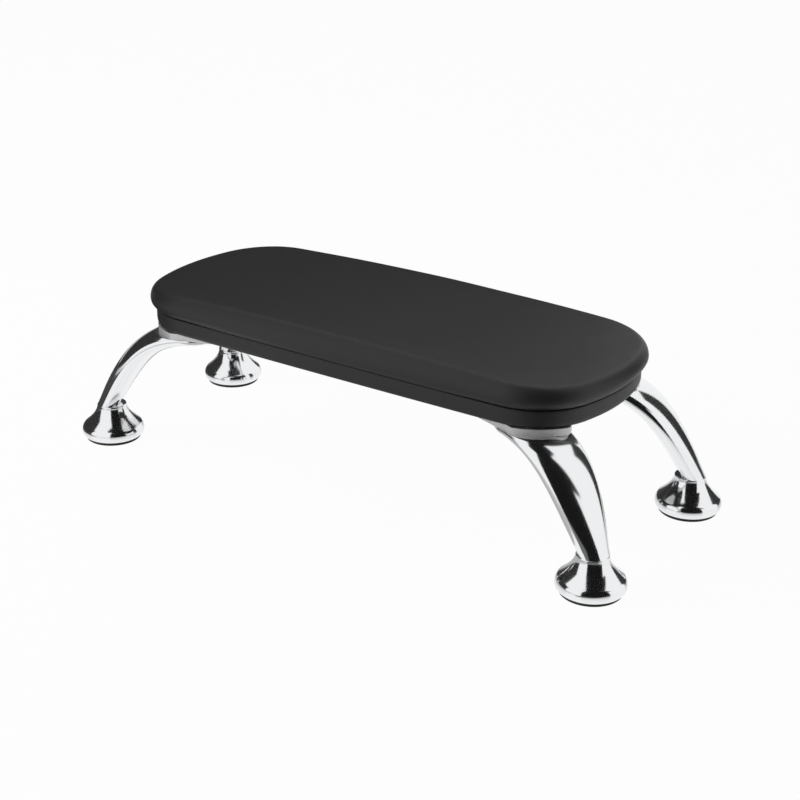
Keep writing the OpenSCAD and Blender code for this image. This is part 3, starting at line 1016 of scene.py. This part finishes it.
@dataclass
class SideBand:
    """The leatherette band round the board, its hem folded under and pleated at the corners."""

    shape: PadShape
    pleat: float = 0.55 * MM
    pleat_pitch: float = 8.5 * MM
    pleat_line: tuple[float, float] = (1.7, 0.2)
    pleat_drift: float = 3.0
    pleat_wander: float = 4.0
    pleat_skin: float = 0.5 * MM
    pleat_inner: float = 13 * MM
    pleat_fade: float = 2 * MM
    pleat_outer: float = 8 * MM
    pleat_edge: float = 0.4
    wave: float = 0.1 * MM
    wave_size: float = 30 * MM
    wave_fade: float = 3 * MM
    wall_skin: float = 0.2 * MM
    crease: float = 50.0
    under_steps: int = 7
    wall_steps: int = 4
    hem_insets: tuple[float, ...] = (21.5 * MM, 18 * MM, 15 * MM, 13 * MM, 11 * MM, 9 * MM)

    def under_edge(self, inset: float, z: float) -> Section:
        """Insets and heights of the rounding at the lower edge, from the underside out and up."""
        return [(inset + self.shape.band_under * (1 - out), z + self.shape.under_h * (1 - down))
                for down, out in arc(0, 90, self.under_steps)]

    def section(self) -> Section:
        """The band's section, from the hem's cut edge outside and back inside.

        Returns:
            Inset and height of each point.
        """
        shape = self.shape
        low, high = shape.hem_z + shape.under_h, shape.seam_z - shape.band_round
        line = [(shape.hem_in, shape.board_z), (shape.hem_in, shape.hem_z)]
        line += [(inset, shape.hem_z) for inset in self.hem_insets]
        line += self.under_edge(shape.band_in, shape.hem_z)
        line += [(shape.band_in, z) for z in np.linspace(low, high, self.wall_steps + 1)[1:]]
        line += [(shape.band_in + shape.band_round * (1 - out), high + shape.band_round * up)
                 for out, up in arc(30, 90, 2)]
        line += [(shape.seam_in, shape.seam_z), (shape.seam_in, shape.board_top),
                 (shape.band_in + shape.cover, shape.board_top)]
        return line + self.under_edge(shape.band_in + shape.cover, shape.board_z)[::-1]

    def dressed(self, ring: Ring) -> Ring:
        """Adds the pleats under the corners and a slight waviness on the wall.

        Args:
            ring: A ring of the band.

        Returns:
            The ring, dressed.
        """
        shape = self.shape
        moved = ring.copy()
        height = ring[:, 2]
        depth = np.linalg.norm(ring[:, :2] - shape.outline(0), axis=1)
        angle = np.arctan2(shape.out[:, 1], shape.out[:, 0])
        jitter = drift((self.pleat_drift * a, *self.pleat_line) for a in angle)
        turns = angle * shape.corner / self.pleat_pitch * 2 * math.pi
        folds = np.clip(np.sin(turns + self.pleat_wander * jitter), 0, 1) ** 2
        under = faded(shape.hem_z + self.pleat_skin - height, self.pleat_skin)
        strip = faded(self.pleat_inner - depth, self.pleat_fade)
        strip *= np.clip(depth / self.pleat_outer - self.pleat_edge, 0, 1)
        moved[:, 2] -= self.pleat * folds * under * strip * shape.cornered()
        wall = faded(shape.seam_z - height, self.wave_fade)
        wall *= depth < shape.band_in + self.wall_skin
        moved[:, :2] += shape.out * (self.wave * drift(ring, self.wave_size) * wall)[:, None]
        return moved

    def build(self) -> None:
        """The band as one closed loop of leatherette."""
        rings = [self.dressed(self.shape.flat_ring(*place)) for place in self.section()]
        piece = Form.loft(rings, Ends.LOOP).piece("pad_band", Leatherette(), self.crease)
        register(piece, "leatherette", "side_band")


@dataclass
class UndersideCloth:
    """The thin black cloth stapled under the board."""

    shape: PadShape
    sag: float = 0.3 * MM
    fold: float = 46 * MM
    fold_line: float = 0.4
    fold_edge: float = 15 * MM
    fold_fade: float = 10 * MM
    steps: int = 18

    def build(self) -> None:
        """The cloth, drawn tight but for shallow folds that lift off its lowest plane."""
        shape = self.shape
        inset = shape.band_in + shape.cloth_in
        shares = [k / self.steps for k in range(self.steps + 1)]
        top = [shape.floor_ring(inset, s, shape.base_z + shape.cloth) for s in reversed(shares)]
        low = [self._creased(shape.floor_ring(inset, s, shape.base_z)) for s in shares]
        piece = Form.loft(low + top).piece("underside_lining", LiningCloth())
        line = shape.outline(inset)
        x, y = line[:, 0], line[:, 1]
        area = abs(float((x * np.roll(y, -1) - y * np.roll(x, -1)).sum())) / 2
        register(piece, "lining_cloth", "underside_cloth")

    def _creased(self, ring: Ring) -> Ring:
        """Lifts a ring of the lower side in shallow folds, none at the cloth's edge.

        Args:
            ring: A ring of the lower side.

        Returns:
            The ring, lifted.
        """
        inner = faded(self.shape.width / 2 - self.fold_edge - np.abs(ring[:, 1]), self.fold_fade)
        soft = drift((x / self.fold, y / (self.fold / 2), self.fold_line) for x, y, _ in ring)
        moved = ring.copy()
        moved[:, 2] += self.sag * np.clip(MIDDLE + soft, 0, 1) * inner
        return moved


# Legs, feet and plates


@dataclass
class LegShape:
    """The chromed leg's curve and sections, the same as in the CAD, in the leg's own frame."""

    pad: PadShape
    past_end: float = 42 * MM
    past_side: float = 17 * MM
    head_place_share: float = 0.277
    reach: float = 88 * MM
    ankle_w: float = 21.6 * MM
    ankle_t: float = 15.4 * MM
    shin_t: float = 17.4 * MM
    head_w: float = 43.5 * MM
    head_t: float = 10 * MM
    lean: float = 27.0
    steep: float = 60 * MM
    level: float = 46 * MM
    nose: float = 24 * MM
    ankle_shift: float = 2 * MM
    rim_r: float = 24 * MM
    neck_z: float = 28 * MM
    plate: float = 5 * MM
    nose_share: float = 0.85
    width_growth_share: float = 4.0
    sides: int = 72
    steps: int = 64
    nose_steps: int = 14

    def __post_init__(self) -> None:
        """Places the foot, turns the leg and sets the curve's four points."""
        self.foot = (self.pad.length / 2 + self.past_end - self.rim_r,
                     self.pad.width / 2 + self.past_side - self.rim_r)
        self.turn = math.asin((self.foot[1] - self.head_place_share * self.pad.width) / self.reach)
        self.plate_z = self.pad.base_z - self.plate
        head_z = self.pad.base_z - self.head_t / 2
        lean = math.radians(self.lean)
        self.curve_points = np.array([
            (-self.ankle_shift, self.neck_z),
            (-self.ankle_shift + self.steep * math.sin(lean),
             self.neck_z + self.steep * math.cos(lean)),
            (self.reach - self.level, head_z),
            (self.reach, head_z),
        ])

    def curve(self, t: float) -> np.ndarray:
        """The curve's point, as how far in and how high."""
        weights = np.array([(1 - t) ** 3, 3 * t * (1 - t) ** 2, 3 * t * t * (1 - t), t ** 3])
        return weights @ self.curve_points

    def heading(self, t: float) -> np.ndarray:
        """The curve's direction.

        Args:
            t: Place along the curve.

        Returns:
            The direction, of length 1.
        """
        steps = np.diff(self.curve_points, axis=0)
        way = (1 - t) ** 2 * steps[0] + 2 * t * (1 - t) * steps[1] + t * t * steps[2]
        return way / np.linalg.norm(way)

    def half_width(self, t: float) -> float:
        """Half of the leg's width."""
        grown = (1 - t) ** self.width_growth_share
        return (self.head_w - (self.head_w - self.ankle_w) * grown) / 2

    def half_thickness(self, t: float) -> float:
        """Half of the leg's thickness."""
        return (self.ankle_t * (1 - t) * (1 - 2 * t) + 4 * self.shin_t * t * (1 - t)
                + self.head_t * t * (2 * t - 1)) / 2

    def ring(self, t: float, share: float, ahead: float) -> Ring:
        """A section across the leg.

        Args:
            t: Place along the curve.
            share: How far the section is drawn in, at the nose.
            ahead: How far the section lies ahead of the curve's point.

        Returns:
            The ring, cut level under the plate.
        """
        middle = self.curve(t) + np.array((ahead, 0.0))
        heading = self.heading(t)
        turns = np.linspace(0, 2 * math.pi, self.sides, endpoint=False)
        lift = share * self.half_thickness(t) * np.sin(turns)
        ring = np.column_stack([middle[0] - heading[1] * lift,
                                share * self.half_width(t) * np.cos(turns),
                                middle[1] + heading[0] * lift])
        ring[:, 2] = np.minimum(ring[:, 2], self.plate_z)
        return ring

    def rings(self) -> Rings:
        """Rings from the ankle, level on the foot's neck, to the rounded nose.

        Returns:
            The rings.
        """
        first = self.ring(0, 1, 0)
        way = self.heading(0)
        first += np.outer((self.neck_z - first[:, 2]) / way[1], (way[0], 0, way[1]))
        shin = [self.ring(self.nose_share * (k / self.steps), 1, 0)
                for k in range(1, self.steps + 1)]
        nose = [self.ring(self.nose_share, share, self.nose * ahead)
                for share, ahead in arc(0, 90, self.nose_steps)[1:-1]]
        return [first, *shin, *nose]

    def to_corner(self, ring: Ring, corner: Corner) -> Ring:
        """Turns a ring from the leg's own frame to a corner of the pad.

        Args:
            ring: The ring.
            corner: The corner.

        Returns:
            The ring in the CAD's frame.
        """
        turn = math.pi + self.turn
        x = self.foot[0] + ring[:, 0] * math.cos(turn) - ring[:, 1] * math.sin(turn)
        y = self.foot[1] + ring[:, 0] * math.sin(turn) + ring[:, 1] * math.cos(turn)
        return np.column_stack([corner.value[0] * x, corner.value[1] * y, ring[:, 2]])


@dataclass
class Legs:
    """The four chromed legs."""

    shape: LegShape

    def build(self) -> None:
        """One smooth loft for each corner."""
        for corner in Corner:
            rings = [self.shape.to_corner(ring, corner) for ring in self.shape.rings()]
            piece = Form.loft(rings, Ends.CAPPED).piece(f"chrome_leg_{corner.label}", Chrome())
            register(piece, "leg_chrome", f"leg_{corner.label}")


@dataclass
class BellFeet:
    """The four bell feet with their rubber glides."""

    leg: LegShape
    rim_z: float = 6.6 * MM
    rim_round: float = 4.8 * MM
    rim_rise: float = 6.6 * MM
    neck_r: float = 11.2 * MM
    wall: float = 3 * MM
    boss: float = 8 * MM
    glide_t: float = 2.4 * MM
    glide_r: float = 21.2 * MM
    plug: float = 3 * MM
    plug_play: float = 0.3 * MM
    bore: float = 3.4 * MM
    neck_edge: float = 0.6 * MM
    rim_low: float = -54.0
    rim_high: float = 50.0
    bend_share: float = 1.85
    rim_steps: int = 20
    flare_steps: int = 34
    sides: int = 144

    def rim_point(self, degrees: float) -> tuple[float, float]:
        """A point of the rounded rim.

        Args:
            degrees: Below zero under the widest place.

        Returns:
            Radius and height.
        """
        turn = math.radians(degrees)
        rise = self.rim_round if degrees < 0 else self.rim_rise
        return (self.leg.rim_r - self.rim_round * (1 - math.cos(turn)),
                self.rim_z + rise * math.sin(turn))

    def flare(self, z: float) -> float:
        """Radius of the hollow flare at a height.

        Args:
            z: The height.

        Returns:
            The radius.
        """
        low_r, low_z = self.rim_point(self.rim_high)
        share = (self.leg.neck_z - z) / (self.leg.neck_z - low_z)
        return self.neck_r + (low_r - self.neck_r) * share ** self.bend_share

    def profile(self) -> Section:
        """The bell's section, outside up and inside down.

        Returns:
            Radius and height of each point.
        """
        neck, low_z = self.leg.neck_z, self.rim_point(self.rim_high)[1]
        boss_z = neck - self.boss
        plug_r = self.glide_r - self.wall
        line = [(self.rim_point(self.rim_low)[0] - self.neck_edge, self.glide_t)]
        line += [self.rim_point(degrees) for degrees in
                 np.linspace(self.rim_low, self.rim_high, self.rim_steps + 1)]
        line += [(self.flare(z), z) for z in
                 np.linspace(low_z, neck - 2 * self.neck_edge, self.flare_steps)[1:]]
        line += [(self.neck_r - self.neck_edge * (1 - across), neck - self.neck_edge * (1 - up))
                 for across, up in arc(0, 90, 3)]
        line += [(self.bore, neck), (self.bore, boss_z)]
        line += [(min(self.flare(z) - self.wall, plug_r), z) for z in
                 np.linspace(boss_z, low_z, self.flare_steps // 2)]
        return line + [(plug_r, self.glide_t)]

    def glide_profile(self) -> Section:
        """The rubber glide's section, with a rounded lower edge and a plug.

        Returns:
            Radius and height of each point.
        """
        half = self.glide_t / 2
        plug_r = self.glide_r - self.wall - self.plug_play
        line = [(0.0, 0.0), (self.glide_r - half, 0.0)]
        line += [(self.glide_r - half + half * out, half - half * down)
                 for down, out in arc(30, 90, 2)]
        line += [(self.glide_r, self.glide_t), (plug_r, self.glide_t),
                 (plug_r, self.glide_t + self.plug - half / 2),
                 (plug_r - half / 2, self.glide_t + self.plug), (0.0, self.glide_t + self.plug)]
        return line

    def build(self) -> None:
        """A foot and a glide for each corner."""
        chrome = Chrome(name="foot_chrome", waves=Grain(1 / (12 * MM), 1, 0.4),
                        reliefs=(Relief(0.03 * MM, 0.5),))
        for corner in Corner:
            centre = (corner.value[0] * self.leg.foot[0], corner.value[1] * self.leg.foot[1])
            bell = Form.loft(turned(self.profile(), self.sides, centre), Ends.LOOP)
            foot = bell.piece(f"bell_foot_{corner.label}", chrome)
            register(foot, "foot_chrome", f"foot_{corner.label}")
            disc = Form.loft(turned(self.glide_profile(), self.sides, centre))
            glide = disc.piece(f"rubber_glide_{corner.label}", Rubber())
            register(glide, "glide_rubber", f"glide_{corner.label}")


@dataclass
class CarriedParts:
    """CAD nodes whose shape is right: they stay, with better finishes."""

    fasteners: tuple[str, ...] = ("plate_screws", "leg_bolts", "foot_screws",
                                  "hem_staples", "cloth_staples")

    def dress(self) -> None:
        """Gives the board, the plates and the fasteners their finishes."""
        finishes: dict[str, Finish] = {"base_board": Plywood()}
        finishes.update({f"plate_{corner.label}": SatinSteel() for corner in Corner})
        finishes.update({name: ZincPlate() for name in self.fasteners})
        for name, finish in finishes.items():
            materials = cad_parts[name].data.materials
            materials.clear()
            materials.append(finish.material())
            log.info("%s keeps its solid, with %s", name, finish.name)


# The studio


@dataclass(frozen=True)
class FloorPaper(Finish):
    """Plain white sheet: white to the eye, with the object's shadow, and polished to gloss."""

    name: str = "floor_sheet"
    light: Colour = grey(0.80)
    roughness: float = 0.08
    eye_share: float = 0.965
    mirror: Colour = grey(0.97)
    mirror_index: float = 1.5

    def surface(self, shader: Shader) -> Value:
        """Matte and even white to the eye; gloss sees white with a grazing mirror on it.

        Args:
            shader: The material's node tree.

        Returns:
            The surface.
        """
        matte = shader.node("ShaderNodeBsdfDiffuse", None, {"Color": self.light})
        mirror = shader.node("ShaderNodeBsdfGlossy", None,
                             {"Color": self.mirror, "Roughness": self.roughness})
        grazing = shader.node("ShaderNodeFresnel", None, {"IOR": self.mirror_index})
        white = shader.glow()
        seen = shader.ray("Is Camera Ray", "Is Transmission Ray") * self.eye_share
        plain = shader.blend(seen, matte, white)
        return shader.blend(shader.ray("Is Glossy Ray"), plain,
                            shader.blend(grazing, white, mirror))


@dataclass(frozen=True)
class FlagClothAndFloorShade(Finish):
    """A studio flag's plain dark cloth, and the even grey of painted floor shade."""

    name: str = "flag_cloth"
    level: float = 0.0

    def surface(self, shader: Shader) -> Value:
        """An even grey that no light changes."""
        return shader.glow(self.level)


@dataclass
class Flag:
    """An upright studio flag that only gloss sees, over a line on the floor."""

    name: str
    start: tuple[float, float]
    end: tuple[float, float]
    low: float
    high: float
    level: float

    def corners(self) -> list[tuple[float, float, float]]:
        """The card's four corners."""
        return [(*self.start, self.low), (*self.end, self.low),
                (*self.end, self.high), (*self.start, self.high)]

    def build(self) -> None:
        """The card as an object that casts no shadow and no light."""
        finish = FlagClothAndFloorShade(name=f"flag_cloth_{self.name}", level=self.level)
        piece = Form(self.corners(), [(0, 1, 2, 3)]).piece(f"flag_{self.name}", finish)
        for ray in ("camera", "diffuse", "shadow", "transmission"):
            setattr(piece, f"visible_{ray}", False)


@dataclass
class LevelFlagAndFloorShade(Flag):
    """A level flag, from one corner of its outline to the opposite one; those just above the floor
    are painted floor shade that only gloss sees.
    """

    def corners(self) -> list[tuple[float, float, float]]:
        """The card's four corners, at its height."""
        return [(*self.start, self.high), (self.end[0], self.start[1], self.high),
                (*self.end, self.high), (self.start[0], self.end[1], self.high)]


@dataclass
class Studio:
    """Floor, white surroundings, a soft lamp, dark flags, painted shade on the floor that only
    gloss sees, and the camera.
    """

    azimuth: float = 34.42
    elevation: float = 22.98
    roll: float = 0.53
    distance: float = 1.2027
    lens: float = 72.9
    sensor: float = 36.0
    sideways: float = 8.77 * MM
    aim_z: float = 58.0 * MM
    near: float = 0.01
    far: float = 60.0
    floor_size: float = 14.0
    fill: float = 0.40
    key_watts: float = 17.0
    key_size: float = 1.3
    key_azimuth: float = -50.0
    key_elevation: float = 28.0
    key_distance: float = 1.6
    flags: tuple[Flag, ...] = (
        Flag("front", (0.20, -0.76), (0.81, -0.10), 0.0, 2.5, 0.010),
        Flag("front_high", (0.81, -0.10), (0.96, 0.065), 0.5, 2.5, 0.010),
        Flag("left", (-1.43, -1.33), (-1.40, 0.90), 0.0, 1.45, 0.035),
        Flag("right", (0.42, 0.30), (0.27, 0.42), 0.0, 0.42, 0.04),
        Flag("rear_left", (-1.60, 0.90), (-1.12, 1.255), 0.0, 1.7, 0.055),
        Flag("rear_right", (-1.12, 1.255), (-0.45, 1.75), 0.0, 1.3, 0.03),
        LevelFlagAndFloorShade("overhead", (-0.35, -0.90), (1.05, 0.50), 2.4, 2.4, 0.010),
        # The four sheets just above the floor are painted shade on it that only gloss sees; the one
        # under the pad's near edge is the pad's painted shadow.
        LevelFlagAndFloorShade("painted_floor_shade_left", (-1.42, -0.24), (-0.245, 0.12), 0.002, 0.002, 0.06),
        LevelFlagAndFloorShade("painted_floor_shade_middle", (-0.22, -0.60), (0.20, -0.19), 0.002, 0.002, 0.60),
        LevelFlagAndFloorShade("painted_floor_shadow_edge", (-0.15, -0.19), (0.17, -0.01), 0.002, 0.002, 0.50),
        LevelFlagAndFloorShade("painted_floor_shade_front", (0.20, -0.80), (0.62, -0.13), 0.002, 0.002, 0.16),
    )

    @staticmethod
    def direction(azimuth: float, elevation: float) -> Vector:
        """Direction to a place so many degrees right of the front and above the table."""
        a, e = math.radians(azimuth), math.radians(elevation)
        return Vector((math.sin(a) * math.cos(e), -math.cos(a) * math.cos(e), math.sin(e)))

    def build_camera(self) -> None:
        """The camera at the photograph's viewing angle."""
        back = self.direction(self.azimuth, self.elevation)
        a = math.radians(self.azimuth)
        right = Vector((math.cos(a), math.sin(a), 0))
        up = back.cross(right)
        turn = math.radians(self.roll)
        tilted = math.cos(turn) * right + math.sin(turn) * up
        upright = math.cos(turn) * up - math.sin(turn) * right
        data = bpy.data.cameras.new("view")
        data.lens, data.sensor_width = self.lens, self.sensor
        data.clip_start, data.clip_end = self.near, self.far
        camera = put("view", data)
        target = self.sideways * right + Vector((0, 0, self.aim_z))
        axes = Matrix((tilted, upright, back)).transposed()
        camera.matrix_world = Matrix.Translation(target + self.distance * back) @ axes.to_4x4()
        bpy.context.scene.camera = camera

    def build_floor(self) -> None:
        """A wide sheet of white paper."""
        half = self.floor_size / 2
        corners = [(x * half, y * half, 0.0) for x, y in ((-1, -1), (1, -1), (1, 1), (-1, 1))]
        Form(corners, [(0, 1, 2, 3)]).piece("floor", FloorPaper())

    def build_world(self) -> None:
        """White surroundings to the eye and to gloss, and a plain fill for everything else."""
        world = bpy.data.worlds.new("studio")
        bpy.context.scene.world = world
        world.use_nodes = True
        shader = Shader(world.node_tree, "ShaderNodeOutputWorld")
        plain, white = (shader.node("ShaderNodeBackground", None,
                                    {"Color": grey(1.0), "Strength": strength})
                        for strength in (self.fill, 1.0))
        seen = shader.ray("Is Camera Ray", "Is Glossy Ray", "Is Transmission Ray")
        shader.finish(shader.blend(seen, plain, white))

    def build_lamp(self) -> None:
        """One large soft lamp above the front; gloss sees only the white surroundings."""
        data = bpy.data.lights.new("softbox", "AREA")
        data.shape = "DISK"
        data.size = self.key_size
        data.energy = self.key_watts
        lamp = put("softbox", data)
        back = self.direction(self.key_azimuth, self.key_elevation)
        lamp.location = back * self.key_distance
        lamp.visible_glossy = False
        lamp.rotation_mode = "QUATERNION"
        lamp.rotation_quaternion = (-back).to_track_quat("-Z", "Y")

    def build(self) -> None:
        """Sets the whole studio up."""
        self.build_camera()
        self.build_floor()
        self.build_world()
        self.build_lamp()
        for flag in self.flags:
            flag.build()
        bpy.context.scene.view_settings.view_transform = "Standard"


def main() -> None:
    """Builds the studio and the hand rest."""
    Studio().build()
    pad = PadShape()
    leg = LegShape(pad)
    cushion = Cushion(pad)
    cushion.build_cover()
    cushion.build_foam()
    SideBand(pad).build()
    UndersideCloth(pad).build()
    Legs(leg).build()
    BellFeet(leg).build()
    CarriedParts().dress()


if __name__ == "__main__":
    logging.basicConfig(level=logging.INFO)
    main()
